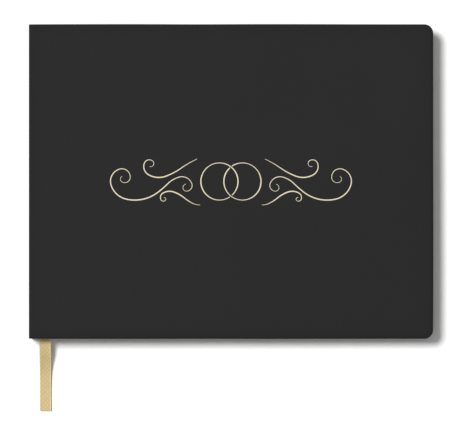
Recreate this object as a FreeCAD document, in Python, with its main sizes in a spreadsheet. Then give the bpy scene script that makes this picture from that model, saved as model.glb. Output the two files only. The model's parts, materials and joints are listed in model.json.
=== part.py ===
import FreeCAD, Part
import math
import os
import Sketcher

# A landscape wedding guest book: two board covers and a flat spine in one soft-touch
# wrap, a sewn block of leaves with rounded fore-edge corners, and a ribbon marker.
#
# Frame: the book lies shut on its back cover. +X runs from the spine to the fore-edge,
# +Y from the tail to the head, +Z up, and the origin is under the middle of the covers.

doc = FreeCAD.newDocument("guest_book")
sheet = doc.addObject("Spreadsheet::Sheet", "Sizes")

SIZES = [
    ("cover_width", 228.6, "spine to fore-edge, 9 in"),
    ("cover_height", 177.8, "tail to head, 7 in"),
    ("board_thickness", 2.0, "greyboard of the covers"),
    ("skin_thickness", 0.5, "soft-touch wrap"),
    ("turn_in", 15.0, "wrap folded over the board's inner face, from the cover's edge"),
    ("fore_corner", 5.0, "radius of the covers' fore-edge corners"),
    ("paste_thickness", 0.2, "endpaper pasted inside a cover"),
    ("square", 3.0, "how far the covers reach past the leaves"),
    ("hinge_gap", 0.075, "level of a cover's hinge line from the block and from the cover"),
    ("hinge_reach", 0.15, "hinge line outside the spine's face"),
    ("block_thickness", 11.3, "spine panel and text block between the endpapers"),
    ("spine_board_thickness", 1.5, "board in the spine panel"),
    ("panel_gap", 0.15, "spine panel to the liner on the block"),
    ("liner_thickness", 0.15, "paper on the mull"),
    ("mull_thickness", 0.3, "gauze glued to the folds"),
    ("thread_slot", 0.4, "room for the sewing behind the folds"),
    ("thread_diameter", 0.36, "linen sewing thread"),
    ("mull_height", 150.0, "gauze, tail to head"),
    ("page_corner", 3.5, "radius of the leaves' fore-edge corners"),
    ("leaf_thickness", 0.2, "one sheet with its air"),
    ("leaf_pitch", 0.3, "one free leaf to the next"),
    ("leaf_margin", 0.05, "outermost leaf to the block's limit"),
    ("leaf_axis_inset", 0.25, "a leaf's fold from the back of the sections"),
    ("leaf_start", 2.0, "a leaf's flat part from its fold"),
    ("section_thickness", 1.5, "one sewn section of ten leaves"),
    ("fold_share", 0.45, "radius at the back of a section, as a share of its thickness"),
    ("ribbon_slot", 0.4, "room for the ribbon between two sections"),
    ("ribbon_width", 6.35, "quarter-inch ribbon"),
    ("ribbon_thickness", 0.25, "woven ribbon"),
    ("ribbon_inset", 8.8, "ribbon's middle from the spine's face"),
    ("bead_radius", 0.8, "headband's rolled edge"),
    ("tab_length", 10.0, "headband's glued tab"),
    ("band_gap", 0.05, "headband to the leaves and to the gauze"),
    ("foil_thickness", 0.04, "stamped foil"),
    ("foil_line", 0.7, "width of the foil's lines"),
    ("ring_radius", 10.5, "middle of each foil ring's line"),
    ("ring_offset", 6.5, "foil ring's centre from the cover's middle"),
]

for row, (alias, size, meaning) in enumerate(SIZES, start=1):
    sheet.set(f"A{row}", meaning)
    sheet.set(f"B{row}", str(size))
    sheet.setAlias(f"B{row}", alias)
doc.recompute()

SECTION_COUNT = 6
SECTIONS_UNDER_RIBBON = 3
FREE_LEAVES = ("front_flyleaf", "guest_leaf_1", "guest_leaf_2", "guest_leaf_3", "guest_leaf_4")
SEWING_STATIONS = (-60.0, -30.0, 0.0, 30.0, 60.0)
TOUCHING = 1e-3  # mm, places nearer than this are the same
VOLUME_SLACK = 1e-3  # how far a checked volume may be off, as a share
ARC_SHARE = 0.45  # how much of the shorter run each arc of the ribbon may take

# Levels and places that follow from the sheet, as expressions for the sizes' bindings.
COVER = "(Sizes.board_thickness + 2 * Sizes.skin_thickness)"
BLOCK_BOTTOM = f"({COVER} + Sizes.paste_thickness + 2 * Sizes.hinge_gap)"
BLOCK_TOP = f"({BLOCK_BOTTOM} + Sizes.block_thickness)"
FRONT_INSIDE = f"({BLOCK_TOP} + 2 * Sizes.hinge_gap + Sizes.paste_thickness)"
FRONT_OUTSIDE = f"({FRONT_INSIDE} + {COVER})"
SPINE_FACE = "(-Sizes.cover_width / 2)"
FORE_EDGE = "(Sizes.cover_width / 2)"
HALF_HEIGHT = "(Sizes.cover_height / 2)"
PANEL_THICKNESS = "(2 * Sizes.skin_thickness + Sizes.spine_board_thickness)"
LINER_X = f"({SPINE_FACE} + {PANEL_THICKNESS} + Sizes.panel_gap)"
MULL_X = f"({LINER_X} + Sizes.liner_thickness)"
THREAD_X = f"({MULL_X} + Sizes.mull_thickness + Sizes.thread_slot / 2)"
FOLDS_X = f"({MULL_X} + Sizes.mull_thickness + Sizes.thread_slot)"
PAGE_EDGE = f"({FORE_EDGE} - Sizes.square)"
PAGE_HALF = f"({HALF_HEIGHT} - Sizes.square)"
LEAF_X = f"({FOLDS_X} + Sizes.leaf_axis_inset + Sizes.leaf_start)"
FIRST_SECTION = f"({BLOCK_BOTTOM} + Sizes.leaf_margin + Sizes.leaf_pitch)"
RIBBON_X = f"({SPINE_FACE} + Sizes.ribbon_inset)"
RIBBON_LEVEL = (
    f"({FIRST_SECTION} + {SECTIONS_UNDER_RIBBON} * Sizes.section_thickness + Sizes.ribbon_slot / 2)"
)

sub_parts = []


def number(expression):
    """The value of an expression on the sheet."""
    return float(sheet.evalExpression(expression))


def keep(item, label):
    """Names a finished sub-part and lists it for the files."""
    item.Label = label
    sub_parts.append(item)
    return item


def place(item, x="0", y="0", z="0"):
    """Binds an object's place to the sheet."""
    for axis, expression in (("x", x), ("y", y), ("z", z)):
        item.setExpression(f"Placement.Base.{axis}", expression)


def sketch_on_plate(body, name, left, right, half, radius, level="0"):
    """A plate's outline on a level of the body: symmetric about X, its two right corners rounded."""
    sketch = body.newObject("Sketcher::SketchObject", name)
    plane = next(f for f in body.Origin.OriginFeatures if f.Role == "XY_Plane")
    sketch.AttachmentSupport = [(plane, "")]
    sketch.MapMode = "FlatFace"
    sketch.setExpression("AttachmentOffset.Base.z", level)
    x0, x1, y, r = (number(e) for e in (left, right, half, radius))
    corner = {
        "tail": FreeCAD.Vector(x1 - r, r - y, 0),
        "head": FreeCAD.Vector(x1 - r, y - r, 0),
    }
    up = FreeCAD.Vector(0, 0, 1)
    quarter = math.pi / 2
    tail = sketch.addGeometry(Part.LineSegment(FreeCAD.Vector(x0, -y, 0), FreeCAD.Vector(x1 - r, -y, 0)))
    tail_arc = sketch.addGeometry(Part.ArcOfCircle(Part.Circle(corner["tail"], up, r), -quarter, 0))
    fore = sketch.addGeometry(Part.LineSegment(FreeCAD.Vector(x1, r - y, 0), FreeCAD.Vector(x1, y - r, 0)))
    head_arc = sketch.addGeometry(Part.ArcOfCircle(Part.Circle(corner["head"], up, r), 0, quarter))
    head = sketch.addGeometry(Part.LineSegment(FreeCAD.Vector(x1 - r, y, 0), FreeCAD.Vector(x0, y, 0)))
    spine = sketch.addGeometry(Part.LineSegment(FreeCAD.Vector(x0, y, 0), FreeCAD.Vector(x0, -y, 0)))
    chain = [tail, tail_arc, fore, head_arc, head]
    for before, after in zip(chain, chain[1:]):
        sketch.addConstraint(Sketcher.Constraint("Tangent", before, 2, after, 1))
    for before, after in ((head, spine), (spine, tail)):
        sketch.addConstraint(Sketcher.Constraint("Coincident", before, 2, after, 1))
    sketch.addConstraint(Sketcher.Constraint("Horizontal", tail))
    sketch.addConstraint(Sketcher.Constraint("Vertical", fore))
    sketch.addConstraint(Sketcher.Constraint("Equal", tail_arc, head_arc))
    sketch.addConstraint(Sketcher.Constraint("Symmetric", head, 2, tail, 1, -1))
    sizes = (
        ("corner", Sketcher.Constraint("Radius", tail_arc, r), radius),
        ("fore_edge", Sketcher.Constraint("DistanceX", -1, 1, fore, 1, x1), right),
        ("across", Sketcher.Constraint("DistanceX", spine, 1, fore, 1, x1 - x0), f"{right} - {left}"),
        ("along", Sketcher.Constraint("DistanceY", tail, 1, head, 2, 2 * y), f"2 * {half}"),
    )
    for label, constraint, expression in sizes:
        sketch.renameConstraint(sketch.addConstraint(constraint), label)
        sketch.setExpression(f"Constraints.{label}", expression)
    return sketch


def grow(body, kind, name, sketch, length, reverse=False):
    """A pad or pocket from a sketch, as deep as an expression says."""
    feature = body.newObject(f"PartDesign::{kind}", name)
    feature.Profile = sketch
    feature.setExpression("Length", length)
    feature.Reversed = reverse
    sketch.Visibility = False
    doc.recompute()
    return feature


def plate(label, left, right, half, radius, thickness, level):
    """A flat sub-part with rounded fore-edge corners, its underside at a level."""
    body = doc.addObject("PartDesign::Body", label)
    outline = sketch_on_plate(body, f"{label}_outline", left, right, half, radius)
    grow(body, "Pad", f"{label}_pad", outline, thickness)
    place(body, z=level)
    return keep(body, label)


def box(name, x, y, z, length, width, height):
    """A Part box with every size bound."""
    item = doc.addObject("Part::Box", name)
    for prop, expression in (("Length", length), ("Width", width), ("Height", height)):
        item.setExpression(prop, expression)
    place(item, x, y, z)
    return item


def cylinder(name, radius, length, x, y, z, along_y=False):
    """A Part cylinder along Z, or along Y."""
    item = doc.addObject("Part::Cylinder", name)
    item.setExpression("Radius", radius)
    item.setExpression("Height", length)
    if along_y:
        item.Placement.Rotation = FreeCAD.Rotation(FreeCAD.Vector(1, 0, 0), -90)
    place(item, x, y, z)
    return item


def make_cover(side, level, outward):
    """One cover, lying with its lower face at a level: the board in its wrap, with the wrap's
    turn-ins folded over the inner face, an infill between them and the endpaper on top.
    outward is 1 where the outer face is up, and -1 where it is down."""
    board_half = f"({HALF_HEIGHT} - Sizes.skin_thickness)"
    board_left = f"({SPINE_FACE} + Sizes.skin_thickness)"
    board_right = f"({FORE_EDGE} - Sizes.skin_thickness)"
    board_corner = "(Sizes.fore_corner - Sizes.skin_thickness)"
    window_right = f"({FORE_EDGE} - Sizes.turn_in)"
    window_half = f"({HALF_HEIGHT} - Sizes.turn_in)"
    window_corner = "(2 * Sizes.skin_thickness)"
    window_level = "0" if outward > 0 else "(Sizes.skin_thickness + Sizes.board_thickness)"

    skin = doc.addObject("PartDesign::Body", f"{side}_cover_skin")
    outline = sketch_on_plate(
        skin, f"{side}_skin_outline", SPINE_FACE, FORE_EDGE, HALF_HEIGHT, "Sizes.fore_corner"
    )
    whole = grow(skin, "Pad", f"{side}_skin_pad", outline, COVER)
    solid = whole.Shape.Volume
    hollow = sketch_on_plate(
        skin, f"{side}_board_outline", board_left, board_right, board_half, board_corner,
        "Sizes.skin_thickness",
    )
    cut = grow(skin, "Pocket", f"{side}_board_pocket", hollow, "Sizes.board_thickness", True)
    board_volume = solid - cut.Shape.Volume
    window = sketch_on_plate(
        skin, f"{side}_window_outline", board_left, window_right, window_half, window_corner,
        window_level,
    )
    opened = grow(skin, "Pocket", f"{side}_window_pocket", window, "Sizes.skin_thickness", True)
    window_volume = cut.Shape.Volume - opened.Shape.Volume
    place(skin, z=level)
    keep(skin, f"{side}_cover_skin")

    board = plate(
        f"{side}_board", board_left, board_right, board_half, board_corner,
        "Sizes.board_thickness", f"{level} + Sizes.skin_thickness",
    )
    infill = plate(
        f"{side}_infill", board_left, window_right, window_half, window_corner,
        "Sizes.skin_thickness", f"{level} + {window_level}",
    )
    for part, removed in ((board, board_volume), (infill, window_volume)):
        if abs(part.Shape.Volume - removed) > VOLUME_SLACK * removed:
            raise RuntimeError(f"the wrap's pocket for {part.Label} has the wrong volume")
    paste_level = f"{level} - Sizes.paste_thickness" if outward > 0 else f"{level} + {COVER}"
    plate(
        f"{side}_pastedown", f"({SPINE_FACE} + Sizes.square)", PAGE_EDGE, PAGE_HALF,
        "Sizes.page_corner", "Sizes.paste_thickness", paste_level,
    )


def make_spine():
    """The flat spine panel between the covers: its board, and the wrap turned in at both ends."""
    full = box(
        "spine_wrap_block", SPINE_FACE, f"-{HALF_HEIGHT}", BLOCK_BOTTOM,
        PANEL_THICKNESS, "Sizes.cover_height", "Sizes.block_thickness",
    )
    inner = f"({SPINE_FACE} + Sizes.skin_thickness)"
    end = f"({HALF_HEIGHT} - Sizes.skin_thickness)"
    board_sizes = ("Sizes.spine_board_thickness", f"2 * {end}", "Sizes.block_thickness")
    hollow = box("spine_hollow", inner, f"-{end}", BLOCK_BOTTOM, *board_sizes)
    window_end = f"({HALF_HEIGHT} - Sizes.turn_in)"
    window = box(
        "spine_window", f"({inner} + Sizes.spine_board_thickness)", f"-{window_end}", BLOCK_BOTTOM,
        "Sizes.skin_thickness", f"2 * {window_end}", "Sizes.block_thickness",
    )
    without_board = doc.addObject("Part::Cut", "spine_wrap_hollowed")
    without_board.Base = full
    without_board.Tool = hollow
    skin = doc.addObject("Part::Cut", "spine_skin")
    skin.Base = without_board
    skin.Tool = window
    keep(skin, "spine_skin")
    keep(box("spine_board", inner, f"-{end}", BLOCK_BOTTOM, *board_sizes), "spine_board")


def make_spine_lining():
    """The gauze and the paper glued over the folds, and the thread that sews the sections."""
    block_low = FIRST_SECTION
    block_deep = f"({SECTION_COUNT} * Sizes.section_thickness + Sizes.ribbon_slot)"
    for label, x, thickness in (
        ("spine_liner", LINER_X, "Sizes.liner_thickness"),
        ("mull", MULL_X, "Sizes.mull_thickness"),
    ):
        lining = box(
            label, x, "-Sizes.mull_height / 2", block_low, thickness, "Sizes.mull_height", block_deep
        )
        keep(lining, label)
    radius = "Sizes.thread_diameter / 2"
    threads = []
    for count, station in enumerate(SEWING_STATIONS, start=1):
        stitch = cylinder(
            f"stitch_{count}", radius, block_deep, THREAD_X, str(station), block_low
        )
        threads.append(stitch)
    for index in range(SECTION_COUNT):
        run = cylinder(
            f"thread_run_{index + 1}", radius, str(SEWING_STATIONS[-1] - SEWING_STATIONS[0]),
            THREAD_X, str(SEWING_STATIONS[0]), f"{section_level(index)} + Sizes.section_thickness / 2",
            along_y=True,
        )
        threads.append(run)
    thread = doc.addObject("Part::MultiFuse", "sewing_thread")
    thread.Shapes = threads
    keep(thread, "sewing_thread")


def make_band(label, side):
    """A headband at one end of the folds: a rolled bead standing past the leaves, on a glued tab.
    side is 1 at the head and -1 at the tail."""
    bead_x = f"({MULL_X} + Sizes.bead_radius - Sizes.band_gap)"
    bead_y = f"({side} * ({PAGE_HALF} + Sizes.bead_radius + Sizes.band_gap))"
    height = "(Sizes.block_thickness - 4 * Sizes.band_gap)"
    low = f"({BLOCK_BOTTOM} + 2 * Sizes.band_gap)"
    bead = cylinder(f"{label}_bead", "Sizes.bead_radius", height, bead_x, bead_y, low)
    tab_y = bead_y if side < 0 else f"({bead_y} - Sizes.tab_length)"
    tab = box(f"{label}_tab", MULL_X, tab_y, low, "Sizes.mull_thickness", "Sizes.tab_length", height)
    band = doc.addObject("Part::Fuse", label)
    band.Base = bead
    band.Tool = tab
    keep(band, label)


def section_level(index):
    """The underside of a sewn section, with the ribbon's slot over the lower ones."""
    slot = " + Sizes.ribbon_slot" if index >= SECTIONS_UNDER_RIBBON else ""
    return f"({FIRST_SECTION} + {index} * Sizes.section_thickness{slot})"


def make_section(index):
    """A section: ten leaves folded and sewn, with rounded folds at the spine."""
    label = f"section_{index + 1}"
    body = doc.addObject("PartDesign::Body", label)
    outline = sketch_on_plate(
        body, f"{label}_outline", FOLDS_X, PAGE_EDGE, PAGE_HALF, "Sizes.page_corner"
    )
    pad = grow(body, "Pad", f"{label}_pad", outline, "Sizes.section_thickness")
    folds = [
        f"Edge{number_of}"
        for number_of, edge in enumerate(pad.Shape.Edges, start=1)
        if abs(edge.CenterOfMass.x - number(FOLDS_X)) < TOUCHING and edge.Length > number(PAGE_HALF)
    ]
    fold = body.newObject("PartDesign::Fillet", f"{label}_fold")
    fold.Base = (pad, folds)
    fold.setExpression("Radius", "Sizes.fold_share * Sizes.section_thickness")
    place(body, z=section_level(index))
    keep(body, label)


def make_block():
    """The sewn sections and the leaves that turn on their own."""
    for index in range(SECTION_COUNT):
        make_section(index)
    leaf_sizes = (LEAF_X, PAGE_EDGE, PAGE_HALF, "Sizes.page_corner", "Sizes.leaf_thickness")
    for index, label in enumerate(FREE_LEAVES):
        top = f"{BLOCK_TOP} - Sizes.leaf_margin - {index} * Sizes.leaf_pitch"
        plate(label, *leaf_sizes, f"{top} - Sizes.leaf_thickness")
    plate("back_flyleaf", *leaf_sizes, f"{BLOCK_BOTTOM} + Sizes.leaf_margin")


# The ribbon marker's tail: where it leaves the leaves at the tail edge, how it comes down past the
# back cover's edge, and its slightly lifted end just over the table, as (y, z) down its middle.
RIBBON_ROUTE = [
    (-86.3, 8.4),
    (-95.2, 8.2),
    (-103.5, 3.4),
    (-113.0, 0.7),
    (-130.2, 1.3),
]


def rounded_path(points):
    """Straight runs joined by tangent arcs, each as large as its two runs allow."""
    edges = []
    start = points[0]
    for before, corner, after in zip(points, points[1:], points[2:]):
        back = (before - corner).normalize()
        onward = (after - corner).normalize()
        turn = math.pi - back.getAngle(onward)
        reach = ARC_SHARE * min(corner.distanceToPoint(before), corner.distanceToPoint(after))
        radius = reach / math.tan(turn / 2)
        print(f"ribbon arc radius {radius:.1f} mm, turn {math.degrees(turn):.1f} degrees")
        enter = corner + back * reach
        leave = corner + onward * reach
        to_centre = (back + onward).normalize()
        middle = corner + to_centre * (radius / math.cos(turn / 2) - radius)
        edges.append(Part.LineSegment(start, enter).toShape())
        edges.append(Part.Arc(enter, middle, leave).toShape())
        start = leave
    edges.append(Part.LineSegment(start, points[-1]).toShape())
    return Part.Wire(edges)


def make_ribbon():
    """The ribbon between the sections, and its free tail."""
    keep(
        box(
            "ribbon_in_pages", f"({RIBBON_X} - Sizes.ribbon_width / 2)", f"-{PAGE_HALF}",
            f"({RIBBON_LEVEL} - Sizes.ribbon_thickness / 2)",
            "Sizes.ribbon_width", f"2 * {PAGE_HALF}", "Sizes.ribbon_thickness",
        ),
        "ribbon_in_pages",
    )
    x = number(RIBBON_X)
    width = number("Sizes.ribbon_width")
    thickness = number("Sizes.ribbon_thickness")
    path = rounded_path([FreeCAD.Vector(0, y, z) for y, z in RIBBON_ROUTE])
    first = path.Edges[0]
    start = first.Vertexes[0].Point
    along = first.tangentAt(first.FirstParameter)
    across = FreeCAD.Vector(1, 0, 0)
    up = across.cross(along)
    corners = [
        start + across * (a * width / 2) + up * (b * thickness / 2)
        for a, b in ((-1, -1), (1, -1), (1, 1), (-1, 1), (-1, -1))
    ]
    tail = doc.addObject("Part::Feature", "ribbon_tail")
    tail.Shape = path.makePipeShell([Part.makePolygon(corners)], True, True)
    tail.Placement.Base = FreeCAD.Vector(x, 0, 0)
    expected = width * thickness * path.Length
    print(f"ribbon tail length {path.Length:.1f} mm")
    if abs(tail.Shape.Volume - expected) > VOLUME_SLACK * expected:
        raise RuntimeError(f"the ribbon's volume is {tail.Shape.Volume}, not {expected}")
    keep(tail, "ribbon_tail")


# The foil ornament: two joined rings, and scrolls either side, drawn as chains of tangent arcs.
# A scroll has its start, its first heading, and its arcs as (radius, turn in degrees).
SCROLLS = [
    (
        (25.5, -1.5), -10,
        ((2.0, -170), (3.2, -110), (5.9, -85), (14.4, -30), (54.1, 8), (21.6, 50),
         (11.7, 60), (7.2, 90), (4.7, 110), (3.1, 120), (1.8, 120)),
    ),
    (
        (38.0, -9.0), 169,
        ((1.0, 150), (1.6, 110), (2.9, 80), (7.3, 50), (19.4, 20), (29.0, -10), (9.7, -30)),
    ),
    (
        (46.0, 8.5), 199,
        ((1.8, -160), (3.0, -110), (5.4, -80), (11.8, -50), (39.5, -14), (59.2, 10)),
    ),
]


def annulus_sector(centre, radius, width, start, end):
    """A flat band along an arc about a centre, between two angles in radians."""
    up = FreeCAD.Vector(0, 0, 1)
    outer = Part.Circle(centre, up, radius + width / 2)
    inner = Part.Circle(centre, up, radius - width / 2)
    out_arc = Part.ArcOfCircle(outer, min(start, end), max(start, end)).toShape()
    in_arc = Part.ArcOfCircle(inner, min(start, end), max(start, end)).toShape()
    sides = [
        Part.makeLine(out_arc.Vertexes[k].Point, in_arc.Vertexes[k].Point)
        for k in (0, 1)
    ]
    return Part.Face(Part.Wire(Part.__sortEdges__([out_arc, sides[1], in_arc, sides[0]])))


def scroll_bands(start, heading, arcs, width):
    """The bands along one scroll's arcs."""
    bands = []
    place_now = FreeCAD.Vector(start[0], start[1], 0)
    angle = math.radians(heading)
    for radius, turn in arcs:
        side = math.copysign(1, turn)
        to_centre = FreeCAD.Vector(-math.sin(angle), math.cos(angle), 0) * side
        centre = place_now + to_centre * radius
        begin = angle - side * math.pi / 2
        finish = begin + math.radians(turn)
        bands.append(annulus_sector(centre, radius, width, begin, finish))
        place_now = centre + FreeCAD.Vector(math.cos(finish), math.sin(finish), 0) * radius
        angle += math.radians(turn)
    return bands


def make_foil():
    """The foil stamped on the front cover."""
    width = number("Sizes.foil_line")
    thickness = number("Sizes.foil_thickness")
    ring = number("Sizes.ring_radius")
    faces = []
    for side in (-1, 1):
        centre = FreeCAD.Vector(side * number("Sizes.ring_offset"), 0, 0)
        outer = Part.Face(Part.Wire(Part.makeCircle(ring + width / 2, centre)))
        inner = Part.Face(Part.Wire(Part.makeCircle(ring - width / 2, centre)))
        faces.append(outer.cut(inner))
    for start, heading, arcs in SCROLLS:
        for band in scroll_bands(start, heading, arcs, width):
            faces.append(band)
            faces.append(band.mirror(FreeCAD.Vector(0, 0, 0), FreeCAD.Vector(1, 0, 0)))
    solids = [face.extrude(FreeCAD.Vector(0, 0, thickness)) for face in faces]
    foil = doc.addObject("Part::Feature", "foil_ornament")
    foil.Shape = solids[0].fuse(solids[1:]).removeSplitter()
    foil.Placement.Base = FreeCAD.Vector(0, 0, number(FRONT_OUTSIDE))
    keep(foil, "foil_ornament")


make_cover("back", "0", -1)
make_cover("front", FRONT_INSIDE, 1)
make_spine()
make_spine_lining()
make_band("headband", 1)
make_band("tailband", -1)
make_block()
make_ribbon()
make_foil()
doc.recompute()

for item in doc.Objects:
    if {"Invalid", "Error"} & set(item.State):
        raise RuntimeError(f"{item.Name} failed: {item.State}")
os.makedirs("parts", exist_ok=True)
for item in sub_parts:
    if item.Shape.isNull() or not item.Shape.isValid():
        raise RuntimeError(f"{item.Label} has no valid shape")
for item in sub_parts:
    item.Shape.exportStep(f"parts/{item.Label}.step")
    low = item.Shape.BoundBox
    print(
        f"{item.Label}: x {low.XMin:.3f} {low.XMax:.3f}, y {low.YMin:.3f} {low.YMax:.3f}, "
        f"z {low.ZMin:.3f} {low.ZMax:.3f}, solids {len(item.Shape.Solids)}, {item.Shape.Volume:.1f} mm3"
    )
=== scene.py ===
import json
import math
import random

import bmesh
import bpy
import numpy as np
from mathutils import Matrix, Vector


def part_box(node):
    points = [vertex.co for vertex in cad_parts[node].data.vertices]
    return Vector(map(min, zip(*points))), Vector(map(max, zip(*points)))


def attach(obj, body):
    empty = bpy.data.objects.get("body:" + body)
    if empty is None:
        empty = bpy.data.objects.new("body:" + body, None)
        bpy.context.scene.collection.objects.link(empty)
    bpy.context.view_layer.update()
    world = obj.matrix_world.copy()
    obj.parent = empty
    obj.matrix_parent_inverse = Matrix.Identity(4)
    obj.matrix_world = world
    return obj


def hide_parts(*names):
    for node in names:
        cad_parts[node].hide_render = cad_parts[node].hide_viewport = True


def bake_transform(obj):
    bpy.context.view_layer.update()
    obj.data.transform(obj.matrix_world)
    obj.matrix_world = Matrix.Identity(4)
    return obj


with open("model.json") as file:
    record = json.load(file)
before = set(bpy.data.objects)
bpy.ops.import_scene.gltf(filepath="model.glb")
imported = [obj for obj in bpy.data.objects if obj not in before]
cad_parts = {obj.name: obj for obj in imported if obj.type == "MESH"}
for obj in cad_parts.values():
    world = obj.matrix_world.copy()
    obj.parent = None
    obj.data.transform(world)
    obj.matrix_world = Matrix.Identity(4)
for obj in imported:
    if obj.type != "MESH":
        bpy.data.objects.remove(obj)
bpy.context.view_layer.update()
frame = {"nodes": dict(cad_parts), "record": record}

# A landscape guest book lying shut: board covers and a flat spine in one soft-touch wrap,
# a sewn block of leaves, a ribbon marker, and a foil ornament on the front.
# Lengths are metres. +X runs from the spine to the fore-edge, +Y to the head, +Z up.

MM = 0.001
FULL_TURN = 2 * math.pi
FREE_LEAVES = ("front_flyleaf", "guest_leaf_1", "guest_leaf_2", "guest_leaf_3", "guest_leaf_4")
SECTIONS = tuple(sorted(node for node in frame["nodes"] if node.startswith("section_")))
LEAVES_IN_SECTION = 10


# ---------------------------------------------------------------- shader maths


class Value:
    """A shader socket that takes part in ordinary arithmetic."""

    def __init__(self, paint, socket):
        self.paint = paint
        self.socket = socket

    def maths(self, operation, *others):
        inputs = dict(enumerate((self, *others)))
        return self.paint.node("ShaderNodeMath", {"operation": operation}, inputs)

    def __add__(self, other):
        return self.maths("ADD", other)

    def __sub__(self, other):
        return self.maths("SUBTRACT", other)

    def __mul__(self, other):
        return self.maths("MULTIPLY", other)

    def __truediv__(self, other):
        return self.maths("DIVIDE", other)

    def __pow__(self, other):
        return self.maths("POWER", other)

    def __radd__(self, other):
        return self + other

    def __rmul__(self, other):
        return self * other

    def __rsub__(self, other):
        return self * -1 + other

    def sine(self):
        return self.maths("SINE")

    def above(self, limit):
        return self.maths("GREATER_THAN", limit)

    def fraction(self):
        return self.maths("FRACT")


class Paint:
    """A material's node tree, with one method that adds any node."""

    def __init__(self, name):
        self.material = bpy.data.materials.new(name)
        self.material.use_nodes = True
        self.tree = self.material.node_tree
        self.surface = self.tree.nodes["Principled BSDF"]

    def connect(self, target, value):
        if isinstance(value, Value):
            self.tree.links.new(value.socket, target)
        else:
            target.default_value = value

    def node(self, kind, settings=None, inputs=None, output=0):
        made = self.tree.nodes.new(kind)
        for key, value in (settings or {}).items():
            setattr(made, key, value)
        for key, value in (inputs or {}).items():
            self.connect(made.inputs[key], value)
        return Value(self, made.outputs[output])

    def place(self):
        """The point on the piece, in its own metres."""
        return self.node("ShaderNodeTexCoord", output="Object")

    def along(self, layer="weave"):
        """Across and along a woven piece, in metres, from its UV map."""
        return self.node("ShaderNodeUVMap", {"uv_map": layer})

    def noise(self, where, scale, detail=2.0, roughness=0.5):
        """Noise from 0 to 1. The scale is in features per metre."""
        inputs = {"Vector": where, "Scale": scale, "Detail": detail, "Roughness": roughness}
        return self.node("ShaderNodeTexNoise", inputs=inputs)

    def parts(self, vector):
        """A vector's three parts."""
        made = self.node("ShaderNodeSeparateXYZ", inputs={0: vector}).socket.node
        return [Value(self, output) for output in made.outputs]

    def stretch(self, where, scale):
        """A place scaled along each axis."""
        inputs = {"Vector": where, "Scale": scale}
        return self.node("ShaderNodeMapping", inputs=inputs)

    def blend(self, share, low, high):
        """A colour between two colours."""
        colour_a, colour_b = 6, 7  # the mix node's colour inputs
        inputs = {
            "Factor": share,
            colour_a: low if isinstance(low, Value) else (*low, 1),
            colour_b: high if isinstance(high, Value) else (*high, 1),
        }
        return self.node("ShaderNodeMix", {"data_type": "RGBA"}, inputs, output=2)

    def bump(self, height, depth, under=None):
        """A normal from a height, over another bump if there is one."""
        inputs = {"Height": height, "Distance": depth, "Strength": 1.0}
        if under is not None:
            inputs["Normal"] = under
        return self.node("ShaderNodeBump", inputs=inputs)

    def finish(self, **sockets):
        """Sets the surface's sockets and gives the material."""
        for name, value in sockets.items():
            self.connect(self.surface.inputs[name.replace("_", " ")], value)
        return self.material


# ------------------------------------------------------------------- materials


def soft_touch_wrap():
    """Charcoal soft-touch cover material: dead matt, faint cloudiness, fine tooth, and painted shade at its
    edges.
    """
    paint = Paint("soft_touch_wrap")
    where = paint.place()
    cloud = paint.noise(where, 16.0, 3.0)
    tooth = paint.noise(where, 2600.0, 2.0, 0.6)
    grain = paint.noise(where, 700.0, 2.0)
    share = cloud * 0.55 + tooth * 0.3 + grain * 0.15
    flat = paint.blend(share, (0.0062, 0.0062, 0.0064), (0.0112, 0.0110, 0.0109))
    # Painted shade: the wrap's colour darkens towards its edges, weighted by an attribute on its mesh.
    painted_edge_shade = paint.node("ShaderNodeAttribute", {"attribute_name": "painted_edge_shade"}, output="Fac")
    colour = paint.blend(painted_edge_shade * 0.3, flat, (0.001, 0.001, 0.001))
    relief = paint.bump(tooth, 0.00003, under=paint.bump(grain, 0.00006))
    return paint.finish(
        Base_Color=colour,
        Roughness=cloud * 0.12 + 0.6,
        Normal=relief,
        Specular_IOR_Level=0.16,
        Sheen_Weight=0.04,
        Sheen_Roughness=0.6,
    )


def paper(name, light, dark, fibre_depth):
    """Uncoated paper: faint cloudy formation and short fibres."""
    paint = Paint(name)
    where = paint.place()
    formation = paint.noise(where, 220.0, 4.0, 0.6)
    fibres = paint.noise(paint.stretch(where, (1.0, 0.35, 1.0)), 3800.0, 3.0, 0.7)
    colour = paint.blend(formation * 0.6 + fibres * 0.4, dark, light)
    return paint.finish(
        Base_Color=colour,
        Roughness=fibres * 0.1 + 0.8,
        Normal=paint.bump(fibres, fibre_depth),
        Specular_IOR_Level=0.3,
    )


def greyboard():
    """Pressed grey board with dark and pale flecks."""
    paint = Paint("greyboard")
    where = paint.place()
    pulp = paint.noise(where, 900.0, 4.0, 0.7)
    fleck = paint.noise(where, 2400.0, 1.0).above(0.64)
    colour = paint.blend(pulp + fleck * 0.4, (0.16, 0.145, 0.12), (0.34, 0.32, 0.28))
    return paint.finish(Base_Color=colour, Roughness=pulp * 0.1 + 0.85, Normal=paint.bump(pulp, 0.0001))


def woven(name, light, dark, threads_per_metre, depth):
    """Plain-woven cloth read from Object coordinates: over-and-under threads both ways."""
    paint = Paint(name)
    across, along, up = paint.parts(paint.place())
    turns = FULL_TURN * threads_per_metre
    warp = ((across + up) * turns).sine()
    weft = (along * turns).sine()
    weave = warp * weft * 0.5 + 0.5
    fuzz = paint.noise(paint.place(), 5000.0, 2.0)
    colour = paint.blend(weave * 0.7 + fuzz * 0.3, dark, light)
    return paint.finish(
        Base_Color=colour, Roughness=fuzz * 0.15 + 0.75, Normal=paint.bump(weave + fuzz * 0.3, depth)
    )


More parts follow.
